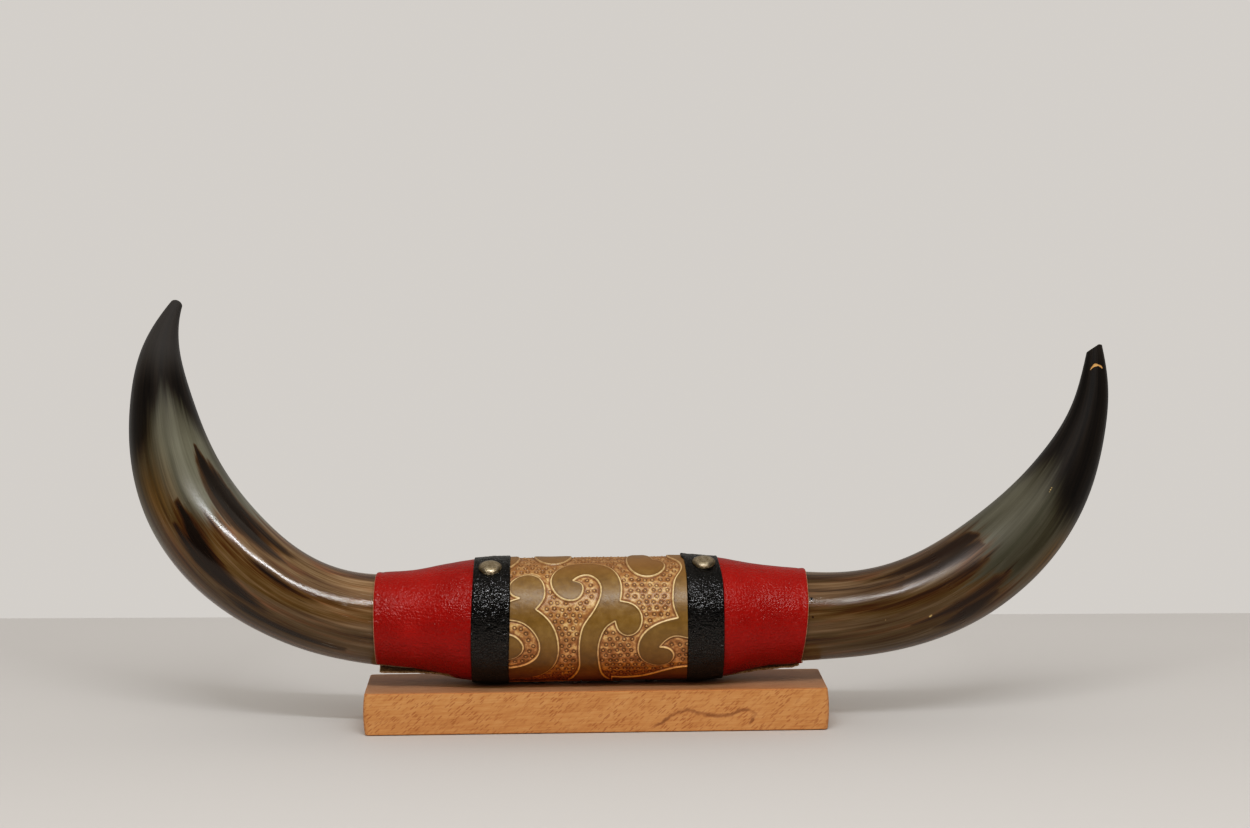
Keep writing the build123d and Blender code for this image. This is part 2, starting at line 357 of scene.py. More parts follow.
def streak_distance(distance, angle, chain):
    """Signed distance in millimetres inside a chain of round ended strokes on a horn's surface.
    Each point of the chain is (distance along, angle, half width)."""
    best = np.full(np.shape(distance), -99.0)
    across = 0.47                                  # millimetres to one degree, about
    for (d0, a0, w0), (d1, a1, w1) in zip(chain, chain[1:]):
        step = np.array([d1 - d0, (a1 - a0) * across])
        px, py = distance - d0, (angle - a0) * across
        t = np.clip((px * step[0] + py * step[1]) / (step @ step), 0, 1)
        gap = np.hypot(px - t * step[0], py - t * step[1])
        best = np.maximum(best, w0 + (w1 - w0) * t - gap)
    return best


def horn_mesh(name, shape, look, cut=None):
    """A horn as rings along its centreline, closed at both ends. A cut is a plane, given by a
    point and a direction, that trims the tip at a slant."""
    count = int(shape.length / HORN_STEP)
    distance = np.linspace(0, shape.length, count)
    angle = np.concatenate([np.linspace(-20, 200, HORN_FRONT_COLUMNS, endpoint=False),
                            np.linspace(200, 340, HORN_BACK_COLUMNS, endpoint=False)])
    columns = len(angle)
    d, a = np.meshgrid(distance, angle, indexing="ij")
    if cut:
        point, direction = (np.array(v, float) for v in cut)
        start = shape.length - 30
        fine = np.linspace(start, shape.length, 240)
        above = (shape.point(*np.meshgrid(fine, angle, indexing="ij")) - point) @ direction > 0
        limit = fine[np.where(above.any(0), above.argmax(0), len(fine) - 1)]
        share = np.clip((d - start) / (shape.length - start), 0, 1)
        d = np.where(d > start, start + share * (limit - start), d)
    place = shape.point(d, a)
    turn = np.radians(a - GRAIN_TWIST * d)
    length_noise = np.stack([np.cos(turn) * 9, np.sin(turn) * 9, d * 0.045], -1)
    swell = 0.05 * wobble(length_noise, 1.0, 3 + shape.side) * smooth(d, 24, 50)
    swell += look["relief"](d, np.mod(a, 360))
    rings = [shape.point(d, a, swell)]
    places = [(d, a)]
    last, end_angle = d[-1:], a[-1:]
    centre = rings[0][-1].mean(0)
    axis = rings[0][-1].mean(0) - rings[0][-3].mean(0)
    axis /= np.linalg.norm(axis)
    for turn_angle in np.radians(look["cap"]):
        shrink, rise = math.cos(turn_angle), math.sin(turn_angle) * look["cap_height"]
        rings.append((centre + (rings[0][-1] - centre) * shrink + axis * rise)[None])
        places.append((last, end_angle))
    base_centre = rings[0][0].mean(0)
    rings.insert(0, (base_centre + (rings[0][0] - base_centre) * 0.4)[None])
    places.insert(0, (d[:1], a[:1]))
    points = np.concatenate(rings)
    d, a = (np.concatenate([p[i] for p in places]) for i in (0, 1))
    faces = quads(len(points), columns, close_columns=True).tolist()
    total = len(points) * columns
    faces.append(list(range(columns))[::-1])
    faces.append(list(range(total - columns, total)))
    turn = np.radians(a - GRAIN_TWIST * d)
    values = {key: value(d, np.mod(a, 360)) for key, value in look["values"].items()}
    values["grain"] = np.stack([np.cos(turn), np.sin(turn), d / 100], -1)
    return mesh_object(name, points, faces, values)


def union(*chains):
    """Signed distance inside the nearest of several streaks."""
    def inside(d, a):
        best = np.full(np.shape(d), -99.0)
        for chain in chains:
            best = np.maximum(best, streak_distance(d, a, chain))
        return best
    return inside


# Strokes of dark pigment, as (distance along, angle round, half width).
left_dark = union(
    [(78, 66, -3), (98, 61, 0.8), (118, 59, 3), (140, 56, 6), (160, 52, 7), (180, 50, 6),
     (194, 50, 4.5), (207, 50, 1)],
    [(80, 48, -2), (100, 46, 2), (124, 45, 3), (146, 44, 3.5), (165, 43, 3.5)],
    [(70, 138, -2), (98, 130, 3), (125, 122, 5.5), (150, 112, 5.5), (162, 106, 3.4),
     (174, 106, 0.8)],
    [(118, 133, 1), (138, 127, 3.5), (150, 124, 2.5), (163, 122, 0.5)],
    [(40, 100, -3), (62, 95, -0.2), (84, 90, 1.6), (104, 86, 1.2), (124, 84, -1.5)],
    [(40, 150, 1), (70, 146, 3), (100, 142, 3), (120, 138, 0)],
    [(90, 250, 1), (140, 240, 6), (180, 236, 4), (205, 236, 1)],
    [(70, 300, 0), (110, 292, 4), (150, 288, 5), (172, 287, 1)],
)
right_dark = union(
    [(64, 50, -1), (98, 45, 4), (132, 44, 6), (147, 46, 5.5), (153, 51, 2.5)],
    [(60, 66, -1), (108, 62, 3), (138, 61, 4.5), (151, 63, 2.5)],
    [(22, 60, 0.3), (60, 59, 0.6), (92, 58, 0.8)],
    [(40, 97, -2), (74, 92, 0.6), (112, 88, 1.2), (140, 86, 2.4), (149, 87, 0.8)],
    [(56, 112, -2), (84, 105, 0.2), (106, 100, -0.5)],
    [(88, 124, -1), (118, 121, 3.4), (146, 118, 3), (156, 118, 0.4)],
    [(100, 140, 0), (122, 137, 6), (142, 133, 2)],
    [(60, 240, 0), (110, 235, 5), (150, 232, 3), (166, 232, 1)],
    [(80, 300, 0), (120, 296, 5), (146, 293, 1)],
)
left_tip = cubic([0, 40, 75, 100, 140, 200, 260, 320, 360], [224, 230, 248, 238, 217, 216, 228,
                                                             230, 224])
right_tip = cubic([0, 40, 60, 90, 125, 170, 240, 300, 360], [218, 225, 228, 214, 202, 206, 210,
                                                             216, 218])


def left_shade(d, a):
    """How far pigment below the surface darkens the left horn. The outer side is darkest."""
    outer = smooth(a, 92, 128) * (1 - smooth(a, 190, 250))
    far = smooth(a, 97, 114) * (1 - smooth(a, 190, 250)) * smooth(d, 175, 225)
    inner = (1 - smooth(a, 22, 48)) * smooth(d, 120, 185)
    return np.clip(0.36 * outer + 0.42 * far + 0.45 * inner + 0.35 * smooth(d, 205, 235), 0, 1)


def right_shade(d, a):
    """The same for the right horn, which is darker all over and has a paler lower edge."""
    far = smooth(a, 92, 112) * (1 - smooth(a, 190, 250)) * smooth(d, 120, 165)
    edge = bell(a, 152, 17) * smooth(d, 120, 165) * (1 - smooth(d, 225, 250))
    return np.clip(0.4 + 0.28 * far - 0.75 * edge + 0.3 * smooth(d, 195, 225), 0, 1)


def specks(*places):
    """Signed distance inside small round marks, each given as (distance, angle, radius)."""
    return union(*([mark, (mark[0] + 0.1, mark[1], mark[2])] for mark in places))


left_look = {
    "values": {
        "dark": left_dark,
        "tip": lambda d, a: d - left_tip(a)[..., 0],
        "pale": lambda d, a: (d - 143) / 30 - 0.9 * bell(a, 135, 40)
        + 0.5 * bell(a, 18, 30) * smooth(d, 60, 130),
        "amber": lambda d, a: bell(d, 182, 32) * bell(a, 132, 28),
        "shade": left_shade,
    },
    "relief": lambda d, a: 0 * d,
    "cap": (18, 36, 52, 66, 78, 87),
    "cap_height": 3.0,
}


def chip_distance(d, a):
    """Signed distance inside the crescent shaped chip near the right horn's tip. It is thickest
    at its upper end, where it hooks back towards the base."""
    across = (a - 92) * 0.135
    along = d - 306.5 + 0.09 * across ** 2 + 0.35 * np.maximum(0, -across - 1.5) ** 1.6
    thick = 0.95 + 0.45 * bell(across, -1.6, 1.4) - 0.3 * bell(across, 1.2, 0.7)
    return thick - np.hypot(along * 1.2, np.maximum(0, np.abs(across) - 3.4))


right_look = {
    "values": {
        "dark": right_dark,
        "tip": lambda d, a: d - right_tip(a)[..., 0],
        "pale": lambda d, a: (d - 150) / 26 + 0.5 * bell(a, 100, 12) * smooth(d, 70, 130),
        "amber": lambda d, a: bell(d, 178, 24) * bell(a, 152, 16),
        "shade": right_shade,
        "chip": chip_distance,
        "speck": specks((100, 119, 0.55), (101, 118.3, 0.4), (211, 82, 0.3), (212.6, 81.4, 0.4),
                        (214.2, 80.9, 0.35), (73, 108, 0.2)),
        "spot": specks((26.5, 72, 1.0), (27, 96, 0.6), (24.5, 84, 0.4)),
    },
    "relief": lambda d, a: -0.45 * smooth(chip_distance(d, a), -0.3, 0.8),
    "cap": (30, 60),
    "cap_height": 0.25,
}


def horn_material(name, twin):
    """Polished horn: fibres along the length, pale and translucent looking half way up, dark
    pigment in feathered strokes, and a black tip that has lost its polish, its end greyed
    partly as painted sheen."""
    s = Shader(name)
    grain = s.vector("grain")
    along = s.axis(grain, 2)
    wide = s.noise(s.scaled(grain, (3.5, 3.5, 0.9)), detail=2)
    middle = s.noise(s.scaled(grain, (11, 11, 1.6)))
    fine = s.noise(s.scaled(grain, (42, 42, 2.2)), detail=4, roughness=0.65)
    hair = s.noise(s.scaled(grain, (120, 120, 3)), detail=2)
    fibre = wide * 0.4 + middle * 0.34 + fine * 0.26
    brown = s.ramp(fibre, [
        (0.36, (0.018, 0.008, 0.004)), (0.43, (0.064, 0.027, 0.009)),
        (0.5, (0.104, 0.06, 0.024)), (0.57, (0.152, 0.097, 0.048)),
        (0.66, (0.28, 0.215, 0.138)),
    ])
    russet = s.step(s.noise(s.scaled(grain, (5, 5, 2.4)), detail=2), 0.5, 0.68)
    brown = s.mix(russet * 0.5, brown, s.ramp(fibre, [
        (0.38, (0.03, 0.008, 0.003)), (0.6, (0.23, 0.08, 0.026)),
    ]))
    near_collar = s.step(along, 0.75, 0.35) * s.step(wide, 0.42, 0.58)
    colour_near = s.ramp(fibre, [(0.38, (0.11, 0.052, 0.02)), (0.62, (0.33, 0.2, 0.1))])
    brown = s.mix(near_collar * 0.35, brown, colour_near)
    green = s.ramp(wide * 0.7 + fine * 0.3, [
        (0.34, (0.072, 0.069, 0.046)), (0.5, (0.108, 0.103, 0.073)),
        (0.64, (0.142, 0.138, 0.103)),
    ])
    drift = middle * 2.6 - 1.3
    pale = s.step(s.value("pale") + drift, -0.35, 0.55)
    s.colour = s.mix(pale, brown, green)
    s.coat(s.value("amber") * 0.8, s.ramp(fibre, [
        (0.36, (0.05, 0.022, 0.005)), (0.56, (0.19, 0.095, 0.022)), (0.68, (0.28, 0.18, 0.07)),
    ]))
    shade = s.value("shade") * (0.72 + middle * 0.5)
    s.coat(shade, (0.16, 0.11, 0.07), "MULTIPLY")
    feather = (middle - 0.5) * 8 + (fine - 0.5) * 5
    dark = s.step(s.value("dark") + feather, -2.4, 2.8)
    stain = s.ramp(dark, [
        (0, (0.09, 0.048, 0.018)), (0.45, (0.05, 0.024, 0.01)), (1, twin["deepest"]),
    ])
    s.coat(s.step(dark, 0, 0.5, 0, 0.96), stain)
    tip_drift = (middle - 0.5) * 30 + (wide - 0.5) * 16
    tip = s.step(s.value("tip") + tip_drift, -16, 16)
    black = s.ramp(fibre, [(0.38, (0.0065, 0.0055, 0.005)), (0.62, (0.017, 0.013, 0.01))])
    s.coat(tip, black)
    hair_line = s.step(hair, 0.66, 0.74)
    s.coat(hair_line * s.step(tip, 1, 0, 0.01, 0.1), (0.42, 0.36, 0.26))
    if twin["chipped"]:
        chip = s.step(s.value("chip"), -0.15, 0.25)
        s.coat(chip, (0.46, 0.26, 0.1))
        s.coat(s.step(s.value("speck"), -0.35, 0.2), (0.46, 0.33, 0.13))
        s.coat(s.step(s.value("spot"), -0.4, 0.3), (0.008, 0.005, 0.004))
        worn = chip * 0.3
    else:
        scrape = s.noise(s.scaled(grain, (26, 26, 5)), detail=4, roughness=0.7)
        scrape = s.step(scrape, 0.6, 0.72) * s.step(along, 0.95, 0.35)
        s.coat(scrape * 0.3, (0.3, 0.24, 0.17))
        worn = scrape * 0.25
    # The grey laid on the worn tip is partly its matt surface and partly painted sheen.
    dull_and_sheen = s.step(along, twin["dull_from"], twin["dull_from"] + 0.35)
    s.coat(dull_and_sheen * twin["dull_and_sheen"], (0.085, 0.08, 0.076))
    s.set(Base_Color=s.colour)
    satin = s.step(along, twin["satin_from"], twin["satin_from"] + twin["satin_over"])
    rough = twin["polish"] + fine * 0.07 + dull_and_sheen * 0.2 + satin * twin["satin_rough"] + worn
    s.set(Roughness=rough)
    gloss = s.step(satin, 0.2, 1, twin["gloss"], twin["gloss"] * twin["satin_gloss"])
    s.set(IOR=1.54, Specular_IOR_Level=gloss, Sheen_Weight=0.13, Sheen_Roughness=0.42)
    scuffed = s.step(along, 0.95, 0.45, 0.006, 0.1)
    height = (fine * 0.6 + hair * 0.4) * scuffed
    s.bump(height, 1, 0.0006)
    return s.material


left_horn = horn_mesh("left_horn_polished", left_horn_shape, left_look)
settle(left_horn, horn_material("left_horn_keratin", {
    "dull_from": 2.55, "dull_and_sheen": 0.34, "polish": 0.1, "satin_from": 1.35, "satin_over": 0.75,
    "satin_rough": 0.3, "satin_gloss": 0.3, "gloss": 0.42, "chipped": False,
    "deepest": (0.012, 0.008, 0.006)}),
       "left_horn")
right_horn = horn_mesh("right_horn_polished", right_horn_shape, right_look,
                       cut=((338.5, 43, 242), (-0.54, 0.2, 0.84)))
settle(right_horn, horn_material("right_horn_keratin", {
    "dull_from": 3.0, "dull_and_sheen": 0.14, "polish": 0.15, "satin_from": 0.75, "satin_over": 1.3,
    "satin_rough": 0.34, "satin_gloss": 0.45, "gloss": 0.33, "chipped": True,
    "deepest": (0.018, 0.01, 0.006)}),
       "right_horn")


# Tooled wrap

# Each raised shape is a list of runs of (x, arc) millimetres on the unrolled leather, where arc
# is measured forward from the top. A run is smooth, and neighbouring runs meet in a cusp.
SCROLLS = {
    "comma": [
        [(-66, 46), (-59, 47), (-54, 45), (-49, 43.5)],
        [(-49, 43.5), (-54, 41), (-55, 34), (-50, 28), (-43, 25.5), (-36, 28.5), (-32.5, 36),
         (-33, 44), (-38, 51)],
        [(-38, 51), (-31, 57), (-26, 65), (-24, 74), (-24.5, 84), (-28, 93), (-35, 101),
         (-46, 106), (-66, 108)],
        [(-66, 108), (-66, 93)],
        [(-66, 93), (-54, 92.5), (-44, 89), (-37.5, 82), (-36.5, 74), (-40, 66), (-47, 60),
         (-56, 58), (-66, 58)],
        [(-66, 58), (-66, 46)],
    ],
    "eye": [
        [(-66, 67.5), (-54, 67.5), (-48, 72), (-46.5, 77), (-49, 82), (-56, 85.5), (-66, 85.5)],
        [(-66, 85.5), (-66, 67.5)],
    ],
    "swan": [
        [(-14, 31), (-9.5, 27.5), (-5, 26.7), (0, 29.5), (3.3, 36), (2.5, 44), (-2.5, 54),
         (-8, 62), (-10.5, 71), (-11, 82), (-11, 93), (-14, 103), (-18, 112)],
        [(-18, 112), (9, 112)],
        [(9, 112), (4, 101), (2, 89), (1.5, 78), (3.5, 69), (7, 63), (12.3, 59.5)],
        [(12.3, 59.5), (14, 65), (19, 68.8), (24.5, 68), (29, 62.5), (29.3, 55), (25, 49),
         (16, 46)],
        [(16, 46), (17, 38), (15.5, 29), (11, 21), (3, 15.5), (-7, 14), (-18, 16.5), (-26, 23.5),
         (-28.6, 32), (-26, 40), (-19.5, 45), (-12.5, 45), (-8, 39.5), (-8.5, 34), (-14, 31)],
    ],
    "hook": [
        [(66, 72), (58, 71), (51.5, 69.7), (45.5, 72), (41, 76.8)],
        [(41, 76.8), (46.5, 78), (49.8, 82), (49, 87.5), (43.5, 91.8), (35, 91), (28.5, 85),
         (26.8, 77), (29.5, 69), (36, 63), (44, 59.5), (52.5, 57.5)],
        [(52.5, 57.5), (49.8, 50), (49.6, 40), (51.5, 30), (55.5, 21), (53.5, 12), (48.5, 5),
         (47, -4)],
        [(47, -4), (66, -4)],
        [(66, -4), (66, 72)],
    ],
    "fan": [
        [(38, 9.5), (43, 12), (45.3, 18), (42, 25), (34, 28.5), (26, 25.5), (21.5, 18),
         (20.5, 8), (23, -2), (29, -9)],
        [(29, -9), (33, -3), (38, 9.5)],
    ],
    "leaf": [
        [(-39, -4), (-37, 7), (-32, 13), (-26, 14.5), (-19.5, 11.5), (-15.5, 4), (-15, -4)],
        [(-15, -4), (-21, -9), (-30, -10), (-39, -4)],
    ],
    "corner": [
        [(-66, -8), (-50, -6)],
        [(-50, -6), (-48.5, 3), (-50, 11), (-55, 18), (-66, 22)],
        [(-66, 22), (-66, -8)],
    ],
    "heel": [
        [(10, 106), (21, 107), (33, 103.5), (44, 97.5), (54, 94), (66, 93.5)],
        [(66, 93.5), (66, 116)],
        [(66, 116), (10, 114)],
        [(10, 114), (10, 106)],
    ],
}
PATTERN_TURN = math.pi * WRAP_RADIUS      # the motif repeats, turned half round, on the back
PATTERN_MIDDLE = 52
STAMP_PITCH = 4.7
STAMP_RADIUS = 1.15
STAMP_CLEARANCE = 1.9
GROUND_DEPTH = 0.75
GROOVE_DEPTH = 0.45


def outline(runs):
    """One closed outline, sampled finely, from runs that meet in cusps."""
    parts = []
    for run in runs:
        run = np.array(run, float)
        knots = lengths_along(run)
        count = max(2, int(knots[-1] / 0.7))
        parts.append(cubic(knots, run)(np.linspace(0, knots[-1], count))[:-1])
    return np.concatenate(parts)


def distance_inside(points, loop):
    """Signed distance from points to a closed loop, positive inside, only near the loop."""
    result = np.full(len(points), -20.0)
    low, high = loop.min(0) - 9, loop.max(0) + 9
    near = np.where(((points > low) & (points < high)).all(1))[0]
    follow = np.roll(loop, -1, 0)
    step = follow - loop
    size = (step ** 2).sum(1) + 1e-9
    for part in np.array_split(near, max(1, len(near) // 4000)):
        p = points[part][:, None]
        t = np.clip(((p - loop) * step).sum(2) / size, 0, 1)
        gap = np.sqrt((((loop + t[..., None] * step) - p) ** 2).sum(2)).min(1)
        py, y0, y1 = p[..., 1], loop[:, 1], follow[:, 1]
        crossing = (y0 > py) != (y1 > py)
        slope = np.where(crossing, (py - y0) / np.where(y1 == y0, 1, y1 - y0), 0)
        inside = (crossing & (p[..., 0] < loop[:, 0] + slope * step[:, 0])).sum(1) % 2 == 1
        result[part] = np.where(inside, gap, -gap)
    return result


def relief_distance(flat):
    """Signed distance to the nearest raised scroll at points of the unrolled leather."""
    best = np.full(len(flat), -20.0)
    for runs in SCROLLS.values():
        loop = outline(runs)
        turned = np.stack([-loop[:, 0], 2 * PATTERN_MIDDLE - loop[:, 1]], 1)
        for copy, shift in ((loop, 0), (turned, -PATTERN_TURN), (turned, PATTERN_TURN)):
            best = np.maximum(best, distance_inside(flat, copy + (0, shift)))
    return best


def stamp_centres(low, high):
    """Hand set seeder stamps: a loose hexagonal spread over the ground between scrolls."""
    rng = np.random.default_rng(11)
    rows = np.arange(low[1], high[1], STAMP_PITCH * 0.87)
    centres = []
    for number, row in enumerate(rows):
        line = np.arange(low[0] + (number % 2) * STAMP_PITCH / 2, high[0], STAMP_PITCH)
        centres.append(np.stack([line, np.full(len(line), row)], 1))
    centres = np.concatenate(centres)
    centres = centres + rng.uniform(-0.5, 0.5, centres.shape)
    return centres[relief_distance(centres) < -STAMP_CLEARANCE]


def nearest_stamp(flat, centres):
    """Distance from each point to the nearest stamp, no more than 4 millimetres."""
    result = np.full(len(flat), 4.0)
    for part in np.array_split(np.arange(len(flat)), 40):
        p = flat[part]
        close = centres[(centres[:, 1] > p[:, 1].min() - 4) & (centres[:, 1] < p[:, 1].max() + 4)]
        if len(close):
            gap = np.sqrt(((p[:, None] - close) ** 2).sum(2)).min(1)
            result[part] = np.minimum(gap, 4.0)
    return result


def tooled_wrap_mesh():
    """The tan leather sleeve: a fine relief outside, plain inside, with its seam underneath."""
    x_low, x_high = LEFT_STRAP_X - 4, RIGHT_STRAP_X + 4
    x_fine = np.arange(LEFT_STRAP_X + 10.5, RIGHT_STRAP_X - 10.5, 0.5)
    x_outer = np.concatenate([[x_low], x_fine, [x_high]])
    arc_front = np.arange(-16, 112, 0.5)
    arc_back = np.arange(112, 2 * PATTERN_TURN - 16, 1.0)
    arc = np.concatenate([arc_front, arc_back])
    a, x = np.meshgrid(arc, x_outer, indexing="ij")
    unrolled = np.stack([x, np.where(a > PATTERN_TURN * 1.5, a - 2 * PATTERN_TURN, a), 0 * x], -1)
    pairs = unrolled[..., :2].reshape(-1, 2)
    edge = relief_distance(pairs).reshape(x.shape)
    centres = stamp_centres((-64, pairs[:, 1].min()), (64, pairs[:, 1].max()))
    stamp = nearest_stamp(pairs, centres).reshape(x.shape)
    seam = np.abs(a - PATTERN_TURN)
    ground = 1 - smooth(edge, -0.75, 0.05)
    height = -GROUND_DEPTH * ground
    height -= GROOVE_DEPTH * bell(edge, -0.75, 0.5)
    height += 0.16 * bell(edge, 0.55, 0.55)
    ring = bell(stamp, STAMP_RADIUS, 0.42) - 0.75 * bell(stamp, 0, 0.6)
    height -= 0.42 * ring * ground
    angle = np.degrees(a / WRAP_RADIUS)
    shape_noise = ring_points(x, WRAP_RADIUS + 0 * x, angle)
    height += 0.16 * wobble(shape_noise, 14, 5) + 0.05 * wobble(shape_noise, 2.2, 6)
    height -= 1.0 * bell(seam, 0, 0.7)
    radius = WRAP_RADIUS - 0.1 + height
    outer = ring_points(x, radius, angle)
    inner_x = np.array([x_high, RIGHT_STRAP_X - 20, LEFT_STRAP_X + 20, x_low])
    ia, ix = np.meshgrid(arc, inner_x, indexing="ij")
    inner = ring_points(ix, CORE_RADIUS + 0.05 + 0 * ix, np.degrees(ia / WRAP_RADIUS))
    blank = np.full(ix.shape, 4.0)
    values = {
        "edge": np.concatenate([edge, blank], 1),
        "stamp": np.concatenate([stamp, blank], 1),
        "unrolled": np.concatenate([unrolled, np.stack([ix, ia, 0 * ix], -1)], 1),
    }
    return band_object("tooled_wrap_relief", outer, inner, values)


def tan_material():
    """Tooled leather: olive brown scrolls, cream bevelled edges, and a stamped orange ground
    with dark stain left in the low places."""
    s = Shader("tooled_tan_leather")
    edge, stamp, place = s.value("edge"), s.value("stamp"), s.place()
    broad = s.noise(place, 55)
    mottle = s.noise(place, 260, detail=4, roughness=0.6)
    pore = s.cells(place, 1500)
    plateau = s.ramp(broad * 0.55 + mottle * 0.45, [
        (0.34, (0.122, 0.06, 0.005)), (0.5, (0.168, 0.088, 0.01)),
        (0.66, (0.212, 0.122, 0.022)),
    ])
    ground = s.ramp(mottle, [
        (0.32, (0.185, 0.072, 0.014)), (0.5, (0.33, 0.155, 0.043)),
        (0.68, (0.64, 0.41, 0.185)),
    ])
    ring = s.band(stamp, 0.45, 0.9, 1.3, 1.75)
    ground = s.mix(ring * 0.78, ground, (0.1, 0.042, 0.007))
    # A lighter bead in the middle of each stamp: partly its own tone, partly painted highlight.
    centre = s.step(stamp, 0.7, 0.25)
    ground = s.mix(centre * 0.55, ground, (0.6, 0.36, 0.14))
    raised = s.step(edge, -0.35, 0.05)
    s.colour = s.mix(raised, ground, plateau)
    groove = s.band(edge, -1.9, -0.85, -0.55, 0)
    s.coat(groove * 0.8, (0.165, 0.066, 0.015))
    inner_line = s.band(edge, 0.75, 1.15, 1.35, 2.1)
    s.coat(inner_line * 0.45, (0.105, 0.048, 0.009))
    lip = s.band(edge, -0.45, -0.05, 0.35, 0.75)
    worn = s.step(mottle + broad * 0.3, 0.45, 0.72, 0.55, 1)
    s.coat(lip * worn, (0.7, 0.5, 0.26))
    arc = s.axis(s.vector("unrolled"), 1)
    # Darker and more saturated towards the bottom of the wrap.
    low = s.step(arc, 62, 104)
    s.coat(low * 0.95, (0.86, 0.46, 0.12), "MULTIPLY")
    high = s.step(arc, 34, 12)
    s.coat(high * 0.62, (0.195, 0.088, 0.022))
    s.set(Base_Color=s.colour)
    s.set(Roughness=0.33 + mottle * 0.12 + groove * 0.15)
    s.set(IOR=1.45, Specular_IOR_Level=0.85)
    height = mottle * 0.5 + s.step(pore, 0, 0.35) * 0.25
    height = height + ring * -0.8
    s.bump(height, 0.35, 0.0004)
    return s.material


wrap = tooled_wrap_mesh()
settle(wrap, tan_material(), "tooled_wrap")


# Red collars

COLLAR_THICK = 1.3
COLLAR_ROWS, COLLAR_COLUMNS, FLAP_COLUMNS = 100, 320, 30
FLAP_FROM = -165             # degrees: behind the bottom, where the back edge leaves the horn
FLAP_END_Y = 0.6
FLAP_REACH = 7               # millimetres over which the flap bends at each of its ends


def edge_taper(gap):
    """Share of full thickness at a distance from a sheet's free edge, which is rounded."""
    return np.sqrt(1 - (1 - np.clip(gap / (COLLAR_THICK * 0.6), 0.02, 1)) ** 2)


def thick_sheet(middle, half, swell):
    """Points and faces of a closed sheet: a grid of middle points moved out by half + swell and
    in by half along its normals, and stitched together round the border."""
    along, across = np.gradient(middle, axis=0), np.gradient(middle, axis=1)
    normal = np.cross(along, across)
    normal /= np.linalg.norm(normal, axis=-1)[..., None] + 1e-9
    radial = middle - (0, 0, AXIS_Z)
    normal *= np.sign((normal * radial * (0, 1, 1)).sum())
    outer = middle + normal * (half + swell)[..., None]
    inner = middle - normal * half[..., None]
    rows, columns = half.shape
    grid = quads(rows, columns)
    count = rows * columns
    number = np.arange(count).reshape(rows, columns)
    border = np.concatenate([number[0, :-1], number[:-1, -1], number[-1, :0:-1], number[:0:-1, 0]])
    after = np.roll(border, -1)
    stitch = np.stack([after, border, border + count, after + count], -1)
    return np.stack([outer, inner]), np.concatenate([grid, grid[:, ::-1] + count, stitch])


def collar_mesh(name, side, start, profile, end, end_shape, front_edge, flap_edge, seed):
    """A red leather sleeve, from under a strap out over a horn's base. Its front edge stops short
    of the bottom, and its back edge passes below it and hangs clear as a raw flap. Both edges
    are functions of x: the front one's angle, and the height of the flap's lower edge."""
    radius_at = cubic([p[0] for p in profile][::side], [p[1] for p in profile][::side])
    t = np.linspace(0, 1, COLLAR_ROWS)[:, None] ** 0.92
    u = np.linspace(0, 1, COLLAR_COLUMNS)[None]
    rough_angle = 150 + (FLAP_FROM - 150) * u
    x = start + (end + end_shape(rough_angle) - start) * t
    first = front_edge(x[:, :1])
    angle = first + (FLAP_FROM - first) * u
    radius = radius_at(x)[..., 0] - COLLAR_THICK / 2
    body = ring_points(x, radius, angle)
    v = np.linspace(0, 1, FLAP_COLUMNS + 1)[None, 1:, None]
    flap_start = body[:, -1:]
    a = math.radians(FLAP_FROM)
    leave = np.array([0, math.cos(a), math.sin(a)]) * -FLAP_REACH
    flap_x = x[:, -1:]
    line = flap_x * (1, 0, 0)
    ragged = 0.35 * wobble(line, 1.1, seed + 3) + 0.5 * wobble(line, 6, seed + 4)
    foot_z = flap_edge(flap_x)[:, 0] + ragged + 0.3
    foot = np.stack([flap_x[:, 0], FLAP_END_Y + 0 * foot_z, foot_z], -1)[:, None]
    hang = np.array([0, -0.75, -0.65]) * FLAP_REACH
    flap = ((1 + 2 * v) * (1 - v) ** 2 * flap_start + v * (1 - v) ** 2 * leave
            + v * v * (3 - 2 * v) * foot + v * v * (v - 1) * hang)
    middle = np.concatenate([body, flap], 1)
    arc = np.concatenate([np.zeros((COLLAR_ROWS, 1)), np.cumsum(
        np.linalg.norm(np.diff(middle, axis=1), axis=2), axis=1)], 1)
    to_front, to_flap = arc, arc[:, -1:] - arc
    to_end = np.abs(x[-1:, :1] - x[:, :1]) + 0 * arc
    free = np.minimum(np.minimum(to_front, to_flap), to_end)
    half = COLLAR_THICK / 2 * edge_taper(free)
    crease = 1 - np.abs(wobble(middle + 0.6 * middle[..., ::-1], 3.4, seed))
    swell = 0.26 * wobble(middle, 19, seed + 1) + 0.09 * wobble(middle, 5, seed + 2)
    swell -= 0.1 * smooth(crease, 0.93, 1.0) * smooth(wobble(middle, 11, seed + 5), 0.1, 0.4)
    swell += 0.2 * bell(to_end, 1.6, 1.2) - 0.15 * bell(to_end, 4.0, 1.2)
    swell *= smooth(free, 0, 1.2)
    points, faces = thick_sheet(middle, half, swell)
    cut = np.stack([1 - smooth(free, 0.15, 0.7), 1 - smooth(free, 0.3, 1.1)])
    inside = np.stack([0 * free, 0 * free + 1])
    return mesh_object(name, points, faces, {"cut": cut, "inside": inside})


